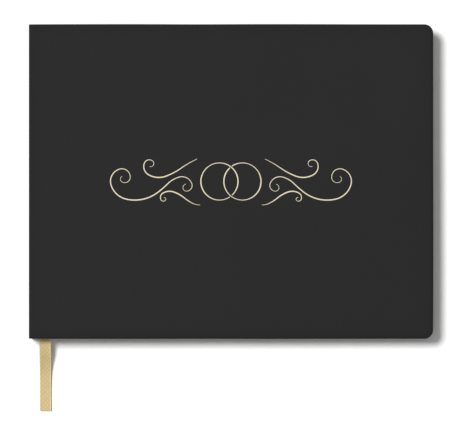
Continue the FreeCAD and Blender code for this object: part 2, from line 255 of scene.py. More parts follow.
def gold_ribbon():
    """Champagne ribbon: a diamond twill of fine threads, one set over the other, and firm edges painted
    light as a highlight.
    """
    paint = Paint("gold_ribbon")
    across, along, _ = paint.parts(paint.along())
    diamond = 2.5 * MM
    warp_pitch = 0.3 * MM
    weft_pitch = 0.36 * MM
    twill_pitch = 0.9 * MM
    selvedge_from = 2.65 * MM
    falling = ((along + across) * (FULL_TURN / diamond)).sine() * 0.5 + 0.5
    rising = ((along - across) * (FULL_TURN / diamond)).sine() * 0.5 + 0.5
    warp = (across * (FULL_TURN / warp_pitch)).sine() * 0.5 + 0.5
    weft = (along * (FULL_TURN / weft_pitch)).sine() * 0.5 + 0.5
    warp_on_top = ((along + across) * (FULL_TURN / twill_pitch)).sine() * 0.5 + 0.5
    threads = warp * warp_on_top + weft * (1 - warp_on_top)
    cloud = paint.noise(paint.along(), 420.0, 3.0, 0.6)
    streak = paint.noise(paint.stretch(paint.along(), (9.0, 1.0, 1.0)), 520.0, 2.0)
    # Painted highlight: both selvedges are painted lighter along the ribbon's edges.
    selvedge_highlight = ((across * across) ** 0.5).above(selvedge_from)
    patch = paint.noise(paint.along(), 70.0, 1.0)
    diamonds = (falling + rising) * (patch * 0.16 + 0.01)
    share = diamonds + threads * 0.28 + cloud * 0.18 + streak * 0.2 + selvedge_highlight * 0.2 + 0.1
    colour = paint.blend(share, (0.29, 0.2, 0.057), (0.82, 0.67, 0.355))
    return paint.finish(
        Base_Color=colour,
        Roughness=cloud * 0.2 + 0.42,
        Normal=paint.bump(threads + falling * 0.4 + rising * 0.4, 0.00005),
        Sheen_Weight=0.2,
        Sheen_Roughness=0.4,
        Specular_IOR_Level=0.35,
    )


def gold_foil():
    """Stamped pale-gold foil with a fine leathery unevenness from the cover under it."""
    paint = Paint("gold_foil")
    where = paint.place()
    tooth = paint.noise(where, 1500.0, 3.0, 0.6)
    wear = paint.noise(where, 340.0, 3.0, 0.6)
    colour = paint.blend(wear, (0.442, 0.398, 0.28), (0.58, 0.536, 0.408))
    return paint.finish(
        Base_Color=colour,
        Metallic=1.0,
        Roughness=wear * 0.14 + 0.5,
        Normal=paint.bump(tooth, 0.00002),
    )


def band_cloth():
    """Headband thread in champagne and ivory stripes, turn by turn."""
    paint = Paint("band_cloth")
    _, _, up = paint.parts(paint.place())
    stripe_pair = 1.16 * MM
    stripe = (up / stripe_pair).fraction().above(0.5)
    fuzz = paint.noise(paint.place(), 5200.0, 2.0)
    silk = paint.blend(stripe, (0.62, 0.47, 0.22), (0.82, 0.77, 0.64))
    colour = paint.blend(fuzz * 0.35, silk, (0.3, 0.24, 0.14))
    return paint.finish(Base_Color=colour, Roughness=fuzz * 0.2 + 0.5, Normal=paint.bump(fuzz, 0.00005))


SKIN = soft_touch_wrap()
ENDPAPER = paper("endpaper", (0.78, 0.745, 0.66), (0.70, 0.66, 0.565), 0.00002)
PAGE = paper("page_paper", (0.79, 0.765, 0.70), (0.72, 0.69, 0.615), 0.000012)
LINING = paper("lining_paper", (0.62, 0.52, 0.38), (0.5, 0.41, 0.28), 0.00003)
BOARD = greyboard()
GAUZE = woven("mull_gauze", (0.8, 0.77, 0.68), (0.42, 0.39, 0.32), 900.0, 0.0001)
THREAD = woven("linen_thread", (0.82, 0.79, 0.68), (0.6, 0.56, 0.45), 1600.0, 0.00005)
RIBBON = gold_ribbon()
FOIL = gold_foil()
BAND = band_cloth()
FINISHES = {
    "soft_touch_wrap": SKIN,
    "greyboard": BOARD,
    "lining_paper": LINING,
    "endpaper": ENDPAPER,
    "page_paper": PAGE,
    "mull_gauze": GAUZE,
    "linen_thread": THREAD,
    "band_cloth": BAND,
    "gold_ribbon": RIBBON,
    "gold_foil": FOIL,
}


def paint_cad_nodes():
    """Gives every carried-over CAD node the finish of its own slot."""
    for row in frame["record"]["subparts"]:
        node = frame["nodes"][row["node"]]
        finish = FINISHES[row["material_slot"]]
        for place in node.material_slots:
            place.material = finish
        if not node.material_slots:
            node.data.materials.append(finish)


# --------------------------------------------------------------- mesh helpers


def piece(name, points, faces, material, sharp=35.0):
    """A mesh object in the row frame, smooth except at edges sharper than an angle."""
    mesh = bpy.data.meshes.new(name)
    mesh.from_pydata([tuple(p) for p in points], [], faces)
    mesh.validate()
    mesh.shade_smooth()
    mesh.set_sharp_from_angle(angle=math.radians(sharp))
    mesh.materials.append(material)
    made = bpy.data.objects.new(name, mesh)
    bpy.context.collection.objects.link(made)
    return made


def bridge(first, second, count, flip=False):
    """Quads between two closed rings of points, given by their first indices."""
    quads = []
    for k in range(count):
        nxt = (k + 1) % count
        quad = (first + k, first + nxt, second + nxt, second + k)
        quads.append(quad[::-1] if flip else quad)
    return quads


def loft(rings, flip=False):
    """Points and faces of a closed shell through rings, capped at both ends."""
    count = len(rings[0])
    points = [p for ring in rings for p in ring]
    faces = []
    for k in range(len(rings) - 1):
        faces += bridge(k * count, (k + 1) * count, count, flip)
    start = list(range(count))
    end = list(range((len(rings) - 1) * count, len(rings) * count))
    faces.append(tuple(start) if flip else tuple(start[::-1]))
    faces.append(tuple(end[::-1]) if flip else tuple(end))
    return points, faces


def geometry_tree(name, sizes):
    """A Geometry Nodes tree with a geometry input and named size inputs."""
    tree = bpy.data.node_groups.new(name, "GeometryNodeTree")
    tree.interface.new_socket("Geometry", in_out="INPUT", socket_type="NodeSocketGeometry")
    for label, kind in sizes:
        tree.interface.new_socket(label, in_out="INPUT", socket_type=kind)
    tree.interface.new_socket("Geometry", in_out="OUTPUT", socket_type="NodeSocketGeometry")
    return tree, tree.nodes.new("NodeGroupInput"), tree.nodes.new("NodeGroupOutput")


def add_node(tree, kind, links=None, settings=None, values=None):
    """Adds one node: its settings first, then its plain values and its links."""
    made = tree.nodes.new(kind)
    for key, value in (settings or {}).items():
        setattr(made, key, value)
    for key, value in (values or {}).items():
        made.inputs[key].default_value = value
    for key, socket in (links or {}).items():
        tree.links.new(socket, made.inputs[key])
    return made


def grown(seed_object, tree, sizes, name):
    """The plain mesh that a tree makes from an object's mesh, as a new object."""
    modifier = seed_object.modifiers.new(name, "NODES")
    modifier.node_group = tree
    for item in tree.interface.items_tree:
        if item.in_out == "INPUT" and item.name in sizes:
            modifier[item.identifier] = sizes[item.name]
    bpy.context.view_layer.update()
    graph = bpy.context.evaluated_depsgraph_get()
    mesh = bpy.data.meshes.new_from_object(seed_object.evaluated_get(graph))
    seed_object.modifiers.clear()
    bpy.data.objects.remove(seed_object)
    mesh.name = name
    made = bpy.data.objects.new(name, mesh)
    bpy.context.collection.objects.link(made)
    return made


# --------------------------------------------------------------------- covers

COVER_LOW, COVER_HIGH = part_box("front_cover_skin")
BACK_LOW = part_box("back_cover_skin")[0]
SPINE_LOW, SPINE_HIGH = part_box("spine_skin")
PASTE_LOW, PASTE_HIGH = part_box("front_pastedown")
SKIN_THICKNESS = COVER_HIGH.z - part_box("front_board")[1].z
COVER_THICKNESS = COVER_HIGH.z - COVER_LOW.z
FORE_CORNER = 5.0 * MM
SPINE_CORNER = 0.7 * MM
LEAST_CORNER = 0.12 * MM
TURN_IN = COVER_HIGH.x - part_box("front_infill")[1].x
# The wrap's rounding over the board's outer and inner edges, and how far in the painted edge shade reaches.
FACE_ROUND = 0.85 * MM
INNER_ROUND = 0.6 * MM
RIM_REACH = 14 * MM
# The edge's waver: its size, how far in from the edge it dies out, and where it starts from the spine.
WAVER = 0.09 * MM
WAVER_DEPTH = 4 * MM
WAVER_START = 12 * MM
SPINE_ROUND = 0.15 * MM
# Gathers in the turn-in at a fore corner: their height, and how far in from the edge they go.
PLEAT = 0.08 * MM
PLEAT_DEPTH = 3 * MM
CORNER_STEPS = 14
SIDE_STEPS = 24
ROUNDING_STEPS = 6


def waver(place, phase):
    """The slight unevenness of a hand-turned cover edge, in metres: two waves, in radians a metre."""
    long_wave = math.sin(place * 21.0 + phase)
    short_wave = math.sin(place * 47.0 + 2.1 * phase)
    return WAVER * (long_wave + 0.6 * short_wave)


def cover_outline(inset, spine_inset, phase):
    """Points round a cover, counter-clockwise from the tail's spine corner, pulled in by an inset."""
    x0 = COVER_LOW.x + spine_inset
    x1 = COVER_HIGH.x - inset
    y1 = COVER_HIGH.y - inset
    points = []
    for cx, cy, start, radius in (
        (x0, -y1, 180, SPINE_CORNER),
        (x1, -y1, 270, FORE_CORNER),
        (x1, y1, 0, FORE_CORNER),
        (x0, y1, 90, SPINE_CORNER),
    ):
        round_by = max(radius - inset, LEAST_CORNER)
        middle_x = cx + (round_by if cx < 0 else -round_by)
        middle_y = cy + (round_by if cy < 0 else -round_by)
        for step in range(CORNER_STEPS + 1):
            angle = math.radians(start + 90 * step / CORNER_STEPS)
            points.append((middle_x + round_by * math.cos(angle), middle_y + round_by * math.sin(angle)))
    whole = []
    corner_points = CORNER_STEPS + 1
    for k, point in enumerate(points):
        whole.append(point)
        if k % corner_points == corner_points - 1:
            after = points[(k + 1) % len(points)]
            for step in range(1, SIDE_STEPS):
                share = step / SIDE_STEPS
                whole.append(
                    (point[0] + (after[0] - point[0]) * share, point[1] + (after[1] - point[1]) * share)
                )
    fade = max(0.0, 1 - inset / WAVER_DEPTH)
    wavy = []
    for x, y in whole:
        reach = min(1.0, max(0.0, (x - COVER_LOW.x) / WAVER_START))
        away = abs(y) > abs(COVER_HIGH.y) - inset - 2 * FORE_CORNER
        shift_y = math.copysign(waver(x, phase), y) * fade * reach if away else 0.0
        shift_x = waver(y, phase + 1.3) * fade if x > COVER_HIGH.x - inset - 2 * FORE_CORNER else 0.0
        wavy.append((x + shift_x, y + shift_y))
    return wavy


def pleat(index):
    """How far a point of a cover's outline stands up where the turn-in is gathered at a fore corner."""
    corner, step = divmod(index, CORNER_STEPS + SIDE_STEPS)
    gathered = corner in (1, 2) and 0 < step < CORNER_STEPS
    return PLEAT * (step % 2) if gathered else 0.0


def wrap_profile():
    """The wrap's rings from its outer face round to its inside: inset, inset at the spine, height."""
    top = COVER_THICKNESS
    inner = SKIN_THICKNESS
    profile = [(inset, inset, top) for inset in (RIM_REACH, RIM_REACH / 2, 2.5 * MM)]
    for k in range(ROUNDING_STEPS + 1):
        angle = math.radians(90 * k / ROUNDING_STEPS)
        pull = FACE_ROUND * (1 - math.sin(angle))
        profile.append((pull, pull, top - FACE_ROUND * (1 - math.cos(angle))))
    for k in range(ROUNDING_STEPS + 1):
        angle = math.radians(90 * k / ROUNDING_STEPS)
        pull = INNER_ROUND * (1 - math.cos(angle))
        profile.append((pull, 0.0, INNER_ROUND * (1 - math.sin(angle))))
    profile += [
        (2.2 * MM, 0.3 * inner, 0.0),
        (3.4 * MM, 0.5 * inner, 0.0),
        (TURN_IN, 0.9 * inner, 0.0),
        (TURN_IN, 0.9 * inner, 0.9 * inner),
        (inner, inner, inner),
        (inner, inner, top - inner),
        (RIM_REACH, RIM_REACH, top - inner),
    ]
    return profile


def cover_wrap(name, level, outward, phase):
    """A cover's wrap as a hollow shell: outer face, rounded edges, turn-ins, and the room for the board."""
    rings = []
    edge_shade_weights = []
    for inset, spine_inset, height in wrap_profile():
        gathered = height == 0.0 and inset < PLEAT_DEPTH
        ring = []
        for k, (x, y) in enumerate(cover_outline(inset, spine_inset, phase)):
            raised = height - pleat(k) if gathered else height
            ring.append((x, y, level + raised if outward > 0 else level + COVER_THICKNESS - raised))
        rings.append(ring)
        # Weights for the painted shade that darkens the wrap's colour towards its edges.
        edge_shade_weights += [max(0.0, 1 - inset / RIM_REACH) ** 3] * len(ring)
    points, faces = loft(rings, flip=outward > 0)
    made = piece(name, points, faces, SKIN)
    painted_edge_shade = made.data.attributes.new("painted_edge_shade", "FLOAT", "POINT")
    painted_edge_shade.data.foreach_set("value", edge_shade_weights)
    return made


def make_covers():
    """Both covers' wraps, which take the place of the plain CAD ones."""
    front = cover_wrap("front_cover_wrap", COVER_LOW.z, 1, 0.4)
    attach(front, "front_cover")
    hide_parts("front_cover_skin")
    back = cover_wrap("back_cover_wrap", BACK_LOW.z, -1, 2.0)
    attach(back, "back_cover")
    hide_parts("back_cover_skin")


def make_spine():
    """The spine panel's wrap: the outer face, and the turned-in ends behind it."""
    thickness = SPINE_HIGH.x - SPINE_LOW.x
    inner = SKIN_THICKNESS
    end = SPINE_HIGH.y
    window = end - TURN_IN
    outline = [(0.0, -end), (0.0, end), (thickness, end), (thickness, window)]
    outline += [(thickness - inner, window), (thickness - inner, end - inner), (inner, end - inner)]
    outline += [(inner, inner - end), (thickness - inner, inner - end), (thickness - inner, -window)]
    outline += [(thickness, -window), (thickness, -end)]
    levels = [SPINE_LOW.z, SPINE_HIGH.z]
    rings = [[(SPINE_LOW.x + x, y, z) for x, y in outline] for z in levels]
    points, faces = loft(rings, flip=True)
    made = piece("spine_wrap", points, faces, SKIN)
    edges = made.modifiers.new("edges", "BEVEL")
    edges.width = SPINE_ROUND
    edges.segments = 3
    edges.limit_method = "ANGLE"
    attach(made, "text_block")
    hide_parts("spine_skin")


def ruled_strip(name, section, low_y, high_y, stations, material):
    """A solid strip: one closed cross-section in X and Z, run along Y."""
    rings = []
    for k in range(stations + 1):
        y = low_y + (high_y - low_y) * k / stations
        rings.append([(x, y, z) for x, z in section])
    points, faces = loft(rings)
    return piece(name, points, faces, material, sharp=60.0)


def thick_line(line, thickness):
    """The closed outline, in X and Z, of a line given a thickness."""
    line = np.array(line, float)
    run = np.gradient(line, axis=0)
    run /= np.linalg.norm(run, axis=1)[:, None]
    side = np.stack([-run[:, 1], run[:, 0]], axis=1) * thickness / 2
    return [tuple(p) for p in line + side] + [tuple(p) for p in (line - side)[::-1]]


# At a hinge: the wrap strip's clearance, and how far short of the cover's ends it stops.
STRIP_GAP = 0.02 * MM
STRIP_SHORT = 0.3 * MM
STRIP_STEPS = 12
# The endpaper's hinge: its sheet, its lap at each end, and where its bend comes nearest the spine.
HINGE_SHEET = 0.09 * MM
HINGE_LAP = 0.4 * MM
HINGE_TIP = 0.68 * MM
HINGE_STEPS = 6
# Its levels over the spine panel's end and under the cover, and its dip behind the folds.
HINGE_OVER_PANEL = 0.07 * MM
HINGE_UNDER_COVER = 0.08 * MM
HINGE_DIP = 0.1 * MM
HINGE_PAST_FOLD = 0.5 * MM
HINGE_ON_PASTEDOWN = 0.05 * MM


def hinge_level(side, z):
    """A height at the front cover's hinge, or its like at the back cover's. side is front or back."""
    middle = (COVER_HIGH.z + BACK_LOW.z) / 2
    mirror = 1 if side == "front" else -1
    return middle + mirror * (z - middle)


def make_wrap_hinge(side):
    """The wrap where a cover bends on the spine."""
    x = SPINE_LOW.x + STRIP_GAP
    start = SPINE_HIGH.z - STRIP_GAP
    end = COVER_LOW.z + STRIP_GAP
    line = [
        (x + SKIN_THICKNESS / 2, hinge_level(side, start + (end - start) * k / STRIP_STEPS))
        for k in range(STRIP_STEPS + 1)
    ]
    section = thick_line(line, SKIN_THICKNESS - 2 * STRIP_GAP)
    reach = COVER_HIGH.y - STRIP_SHORT
    wrap = ruled_strip(f"{side}_joint_wrap", section, -reach, reach, 2, SKIN)
    tidy_normals(wrap)
    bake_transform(wrap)


def make_endpaper_hinge(side):
    """The endpaper where it folds from a cover's inside onto the block."""
    low = SPINE_HIGH.z + HINGE_OVER_PANEL
    high = COVER_LOW.z - HINGE_UNDER_COVER
    bend = (high - low) / 2
    bend_x = SPINE_LOW.x + HINGE_TIP + bend
    fold_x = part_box("section_1")[0].x
    line = [
        (fold_x + HINGE_LAP, hinge_level(side, low - HINGE_DIP)),
        (fold_x - HINGE_PAST_FOLD, hinge_level(side, low)),
        (bend_x + HINGE_LAP, hinge_level(side, low)),
    ]
    for k in range(HINGE_STEPS + 1):
        angle = math.radians(-90 - 180 * k / HINGE_STEPS)
        z = (low + high) / 2 + bend * math.sin(angle)
        line.append((bend_x + bend * math.cos(angle), hinge_level(side, z)))
    line.append((bend_x + HINGE_LAP, hinge_level(side, high)))
    line.append((PASTE_LOW.x + HINGE_ON_PASTEDOWN, hinge_level(side, high)))
    section = thick_line(line, HINGE_SHEET)
    reach = PASTE_HIGH.y
    hinge = ruled_strip(f"{side}_endpaper_joint", section, -reach, reach, 2, ENDPAPER)
    tidy_normals(hinge)
    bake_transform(hinge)


def tidy_normals(made):
    """Turns every face of a closed piece outwards."""
    shell = bmesh.new()
    shell.from_mesh(made.data)
    bmesh.ops.recalc_face_normals(shell, faces=shell.faces)
    shell.to_mesh(made.data)
    shell.free()


# ---------------------------------------------------------------------- leaves


PAGE_CORNER = 3.5 * MM
SHEET = 0.14 * MM
NEAR_FOLD = 15 * MM
# A free leaf's slight waves: where they reach their full height, and their spacing, in radians a metre.
FLAT_NEAR_FOLD = 60 * MM
WAVES_ACROSS = 31
WAVES_ALONG = 24
FREE_WAVE = 0.025 * MM
BACK_WAVE = 0.02 * MM
LEAF_CLEAR = 0.1 * MM
# How far a section's leaves are out of line with each other, and the paper's share of their pitch.
LEAF_SHIFT = 0.22 * MM
PAPER_SHARE = 0.86


def leaf_stations(low_x, high_x, corner, first_steps, far_steps):
    """Places across a leaf, close together near the fold and round the fore-edge corners."""
    near_end = low_x + NEAR_FOLD
    near = [low_x + (near_end - low_x) * k / first_steps for k in range(first_steps)]
    far = [near_end + (high_x - corner - near_end) * k / far_steps for k in range(far_steps)]
    turned = [high_x - corner * (1 - math.sin(math.radians(15 * k))) for k in range(7)]
    return near + far + turned


def leaf_half(x, high_x, corner, half):
    """Half a leaf's height at a place across it."""
    past = x - (high_x - corner)
    if past <= 0:
        return half
    return half - corner + math.sqrt(max(corner * corner - past * past, 0.0))


def leaf_mesh(low_x, high_x, half, level, thickness, corner, waviness, phase, steps=(30, 10)):
    """A thin closed sheet, slightly wavy, with rounded fore-edge corners."""
    across = leaf_stations(low_x, high_x, corner, *steps)
    shares = (-1.0, -0.62, -0.2, 0.2, 0.62, 1.0)
    rings = []
    for x in across:
        reach = leaf_half(x, high_x, corner, half)
        ease = min(1.0, (x - low_x) / FLAT_NEAR_FOLD)
        upper = []
        lower = []
        for share in shares:
            y = share * reach
            wave = math.sin(x * WAVES_ACROSS + phase) * math.cos(y * WAVES_ALONG + 1.7 * phase)
            lift = waviness * ease * wave
            upper.append((x, y, level + thickness / 2 + lift))
            lower.append((x, y, level - thickness / 2 + lift))
        rings.append(upper + lower[::-1])
    return loft(rings)


def make_free_leaves():
    """The flyleaf and the guest leaves that turn with the front cover, as slightly wavy sheets from the
    fold.
    """
    fold_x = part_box("section_1")[0].x
    for index, node in enumerate(FREE_LEAVES):
        low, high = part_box(node)
        level = (low.z + high.z) / 2
        is_flyleaf = index == 0
        material = ENDPAPER if is_flyleaf else PAGE
        points, faces = leaf_mesh(
            fold_x + LEAF_CLEAR, high.x - LEAF_CLEAR * (index % 3), high.y, level,
            SHEET, PAGE_CORNER, FREE_WAVE, 0.9 * index,
        )
        made = piece(f"{node}_sheet", points, faces, material)
        tidy_normals(made)
        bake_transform(made)
        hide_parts(node)


def section_tree():
    """Stacks one leaf into a section, each a hair out of line with the next."""
    sizes = [("Leaves", "NodeSocketInt"), ("Pitch", "NodeSocketFloat"), ("Shift", "NodeSocketFloat")]
    sizes += [("Seed", "NodeSocketInt"), ("Material", "NodeSocketMaterial")]
    tree, given, result = geometry_tree("stacked_leaves", sizes)
    step = add_node(tree, "ShaderNodeCombineXYZ", {"Z": given.outputs["Pitch"]})
    line = add_node(
        tree, "GeometryNodeMeshLine",
        {"Count": given.outputs["Leaves"], "Offset": step.outputs[0]},
        {"mode": "OFFSET"},
    )
    spread = add_node(
        tree, "FunctionNodeRandomValue", {"Seed": given.outputs["Seed"]},
        {"data_type": "FLOAT_VECTOR"}, {0: (-1.0, -1.0, 0.0), 1: (0.0, 1.0, 0.0)},
    )
    shift = add_node(
        tree, "ShaderNodeVectorMath",
        {0: spread.outputs[0], "Scale": given.outputs["Shift"]}, {"operation": "SCALE"},
    )
    moved = add_node(
        tree, "GeometryNodeSetPosition",
        {"Geometry": line.outputs["Mesh"], "Offset": shift.outputs[0]},
    )
    placed = add_node(
        tree, "GeometryNodeInstanceOnPoints",
        {"Points": moved.outputs[0], "Instance": given.outputs["Geometry"]},
    )
    real = add_node(tree, "GeometryNodeRealizeInstances", {0: placed.outputs[0]})
    painted = add_node(
        tree, "GeometryNodeSetMaterial",
        {"Geometry": real.outputs[0], "Material": given.outputs["Material"]},
    )
    tree.links.new(painted.outputs[0], result.inputs[0])
    return tree


def section_folds(section_low, section_high, pitch, thickness):
    """The backs of a section's folded sheets, one inside the other, as half tubes."""
    centre_x = section_low.x + (section_high.z - section_low.z) / 2
    centre_z = (section_low.z + section_high.z) / 2
    points = []
    faces = []
    for sheet in range(LEAVES_IN_SECTION // 2):
        radius = pitch * (sheet + 0.5)
        outline = []
        for edge in (radius + thickness / 2, radius - thickness / 2):
            arc = [
                (centre_x - edge * math.cos(math.radians(a)), centre_z + edge * math.sin(math.radians(a)))
                for a in range(-90, 91, 30)
            ]
            outline += arc if edge > radius else arc[::-1]
        rings = [[(x, y, z) for x, z in outline] for y in (section_low.y, section_high.y)]
        shell_points, shell_faces = loft(rings)
        faces += [tuple(i + len(points) for i in face) for face in shell_faces]
        points += shell_points
    return points, faces


def make_sections():
    """Six sections of real leaves in place of the plain CAD blocks."""
    tree = section_tree()
    for index, node in enumerate(SECTIONS):
        low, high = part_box(node)
        pitch = (high.z - low.z) / LEAVES_IN_SECTION
        thickness = PAPER_SHARE * pitch
        low_x = low.x + (high.z - low.z) / 2
        first = low.z + pitch / 2
        points, faces = leaf_mesh(
            low_x, high.x, high.y, first, thickness, PAGE_CORNER, 0.0, 0.0, steps=(1, 1)
        )
        seed = piece(f"{node}_leaf", points, faces, PAGE)
        tidy_normals(seed)
        sizes = {"Leaves": LEAVES_IN_SECTION, "Pitch": pitch, "Shift": LEAF_SHIFT, "Seed": 11 + index}
        sizes["Material"] = PAGE
        stack = grown(seed, tree, sizes, f"{node}_leaves")
        fold_points, fold_faces = section_folds(low, high, pitch, thickness)
        folds = piece(f"{node}_folds", fold_points, fold_faces, PAGE)
        tidy_normals(folds)
        joined = join([stack, folds], f"{node}_leaves")
        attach(joined, "text_block")
        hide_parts(node)


def join(objects, name):
    """One mesh object from several, with the first one's material."""
    together = bmesh.new()
    for item in objects:
        together.from_mesh(item.data)
    mesh = bpy.data.meshes.new(name)
    together.to_mesh(mesh)
    together.free()
    mesh.materials.append(objects[0].data.materials[0])
    mesh.shade_smooth()
    mesh.set_sharp_from_angle(angle=math.radians(35))
    for item in objects:
        bpy.data.objects.remove(item)
    made = bpy.data.objects.new(name, mesh)
    bpy.context.collection.objects.link(made)
    return made


def make_back_flyleaf():
    """The last leaf, which stays with the block."""
    low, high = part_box("back_flyleaf")
    fold_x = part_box("section_1")[0].x
    points, faces = leaf_mesh(
        fold_x + LEAF_CLEAR, high.x, high.y, (low.z + high.z) / 2, SHEET, PAGE_CORNER, BACK_WAVE, 2.2
    )
    made = piece("back_flyleaf_sheet", points, faces, ENDPAPER)
    tidy_normals(made)
    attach(made, "text_block")
    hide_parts("back_flyleaf")


# -------------------------------------------------------------------- headbands


def band_tree():
    """Winds thread round a band: one ring of thread after another along Z."""
    sizes = [("Turns", "NodeSocketInt"), ("Pitch", "NodeSocketFloat"), ("Radius", "NodeSocketFloat")]
    sizes += [("Thread", "NodeSocketFloat"), ("Start", "NodeSocketVector")]
    sizes += [("Material", "NodeSocketMaterial")]
    tree, given, result = geometry_tree("wound_thread", sizes)
    step = add_node(tree, "ShaderNodeCombineXYZ", {"Z": given.outputs["Pitch"]})
    line = add_node(
        tree, "GeometryNodeMeshLine",
        {
            "Count": given.outputs["Turns"],
            "Offset": step.outputs[0],
            "Start Location": given.outputs["Start"],
        },
        {"mode": "OFFSET"},
    )
    ring = add_node(
        tree, "GeometryNodeCurvePrimitiveCircle", {"Radius": given.outputs["Radius"]},
        {"mode": "RADIUS"}, {"Resolution": 14},
    )
    section = add_node(
        tree, "GeometryNodeCurvePrimitiveCircle", {"Radius": given.outputs["Thread"]},
        {"mode": "RADIUS"}, {"Resolution": 6},
    )
    tube = add_node(
        tree, "GeometryNodeCurveToMesh",
        {"Curve": ring.outputs["Curve"], "Profile Curve": section.outputs["Curve"]},
    )
    placed = add_node(
        tree, "GeometryNodeInstanceOnPoints", {"Points": line.outputs["Mesh"], "Instance": tube.outputs[0]}
    )
    both = add_node(tree, "GeometryNodeJoinGeometry", {0: placed.outputs[0]})
    tree.links.new(given.outputs["Geometry"], both.inputs[0])
    real = add_node(tree, "GeometryNodeRealizeInstances", {0: both.outputs[0]})
    painted = add_node(
        tree, "GeometryNodeSetMaterial",
        {"Geometry": real.outputs[0], "Material": given.outputs["Material"]},
    )
    tree.links.new(painted.outputs[0], result.inputs[0])
    return tree


BAND_THREAD = 0.14 * MM
BAND_PITCH = 0.29 * MM
BAND_TAB = 0.25 * MM
BAND_SIDES = 16
BOX_FACES = [(0, 1, 3, 2), (4, 6, 7, 5), (0, 4, 5, 1), (2, 3, 7, 6), (0, 2, 6, 4), (1, 5, 7, 3)]


def band_core(low, high, centre, radius, tab_y):
    """The points and faces of a band's rolled core and of its tab, which are two closed shells."""
    rings = []
    for z in (low.z, high.z):
        ring = []
        for k in range(BAND_SIDES):
            angle = FULL_TURN * k / BAND_SIDES
            x = centre[0] + (radius - BAND_THREAD) * math.cos(angle)
            y = centre[1] + (radius - BAND_THREAD) * math.sin(angle)
            ring.append((x, y, z))
        rings.append(ring)
    points, faces = loft(rings)
    base = len(points)
    tab_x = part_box("mull")[0].x
    for z in (low.z, high.z):
        for x in (tab_x, tab_x + BAND_TAB):
            for y in tab_y:
                points.append((x, y, z))
    faces += [tuple(i + base for i in face) for face in BOX_FACES]
    return points, faces


def make_bands():
    """The headband and the tailband: a core wound with thread, and the tab glued behind the folds."""
    tree = band_tree()
    for node, side in (("headband", 1), ("tailband", -1)):
        low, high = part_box(node)
        radius = (high.x - low.x) / 2
        centre = ((low.x + high.x) / 2, high.y - radius if side > 0 else low.y + radius)
        tab_y = sorted((centre[1], low.y if side > 0 else high.y))
        points, faces = band_core(low, high, centre, radius, tab_y)
        core = piece(f"{node}_core", points, faces, BAND)
        tidy_normals(core)
        sizes = {
            "Turns": int((high.z - low.z) / BAND_PITCH),
            "Pitch": BAND_PITCH,
            "Radius": radius - BAND_THREAD,
            "Thread": BAND_THREAD,
            "Start": (centre[0], centre[1], low.z + BAND_PITCH / 2),
            "Material": BAND,
        }
        wound = grown(core, tree, sizes, f"{node}_wound")
        wound.data.shade_smooth()
        wound.data.set_sharp_from_angle(angle=math.radians(50))
        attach(wound, "text_block")
        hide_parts(node)


# ----------------------------------------------------------------------- ribbon

RIBBON_LOW, RIBBON_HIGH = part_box("ribbon_in_pages")
RIBBON_WIDTH = RIBBON_HIGH.x - RIBBON_LOW.x
RIBBON_THICKNESS = 0.26 * MM
# The tail's route, in millimetres: out of the leaves, down past the back cover's edge, to its lifted
# cut end.
RIBBON_X = -105.5
RIBBON_ROUTE = [
    (RIBBON_X, -86.3, 8.4),
    (RIBBON_X, -95.2, 8.2),
    (RIBBON_X, -103.5, 3.4),
    (RIBBON_X, -113.0, 0.7),
    (RIBBON_X, -130.2, 1.3),
]
RIBBON_POINTS = 13
# The selvedges: where they start, as a share of the half width, and how much they thicken the ribbon.
SELVEDGE = 0.84
SELVEDGE_LIFT = 0.04 * MM
# How much the tail's edges lift at its exit, the ribbon's slight ripple, and the cut's unevenness.
RIBBON_CUP = 0.16 * MM
RIPPLE = 0.03 * MM
RIPPLES = 330  # radians a metre
FRAY = 0.05 * MM
INSIDE_STEPS = 60


def ribbon_across():
    """Places across the ribbon, from its middle."""
    return [(k / (RIBBON_POINTS - 1) - 0.5) * RIBBON_WIDTH for k in range(RIBBON_POINTS)]


def ribbon_line():
    """Points along the tail's own smooth curve."""
    curve = bpy.data.curves.new("ribbon_route", "CURVE")
    curve.dimensions = "3D"
    curve.resolution_u = 24
    spline = curve.splines.new("NURBS")
    spline.points.add(len(RIBBON_ROUTE) - 1)
    for point, place in zip(spline.points, RIBBON_ROUTE):
        point.co = (*(c * MM for c in place), 1)
    spline.order_u = 3
    spline.use_endpoint_u = True
    holder = bpy.data.objects.new("ribbon_route", curve)
    mesh = bpy.data.meshes.new_from_object(holder)
    line = [tuple(v.co) for v in mesh.vertices]
    bpy.data.meshes.remove(mesh)
    bpy.data.objects.remove(holder)
    bpy.data.curves.remove(curve)
    return line


def ribbon_ring(place, up, cup, ripple, cut=None):
    """The points round a ribbon at one place along it: slightly cupped, with thicker selvedges."""
    upper = []
    lower = []
    for k, across in enumerate(ribbon_across()):
        edge = abs(across) * 2 / RIBBON_WIDTH
        lift = max(cup * edge * edge + RIPPLE * math.sin(ripple + k), 0.0)
        firm = SELVEDGE_LIFT if edge > SELVEDGE else 0.0
        middle = place + up * lift + np.array((across, 0.0, 0.0))
        if cut is not None:
            middle = middle + cut[k]
        upper.append(tuple(middle + up * (RIBBON_THICKNESS / 2 + firm)))
        lower.append(tuple(middle - up * RIBBON_THICKNESS / 2))
    return upper + lower[::-1]


def ribbon_mesh(name, rings, travelled):
    """A ribbon through its rings, with the UV map that the weave reads, across and along it."""
    points, faces = loft(rings)
    made = piece(name, points, faces, RIBBON, sharp=50.0)
    layer = made.data.uv_layers.new(name="weave")
    across = ribbon_across() + ribbon_across()[::-1]
    for loop in made.data.loops:
        ring, k = divmod(loop.vertex_index, 2 * RIBBON_POINTS)
        layer.data[loop.index].uv = (across[k], travelled[ring])
    tidy_normals(made)
    return made


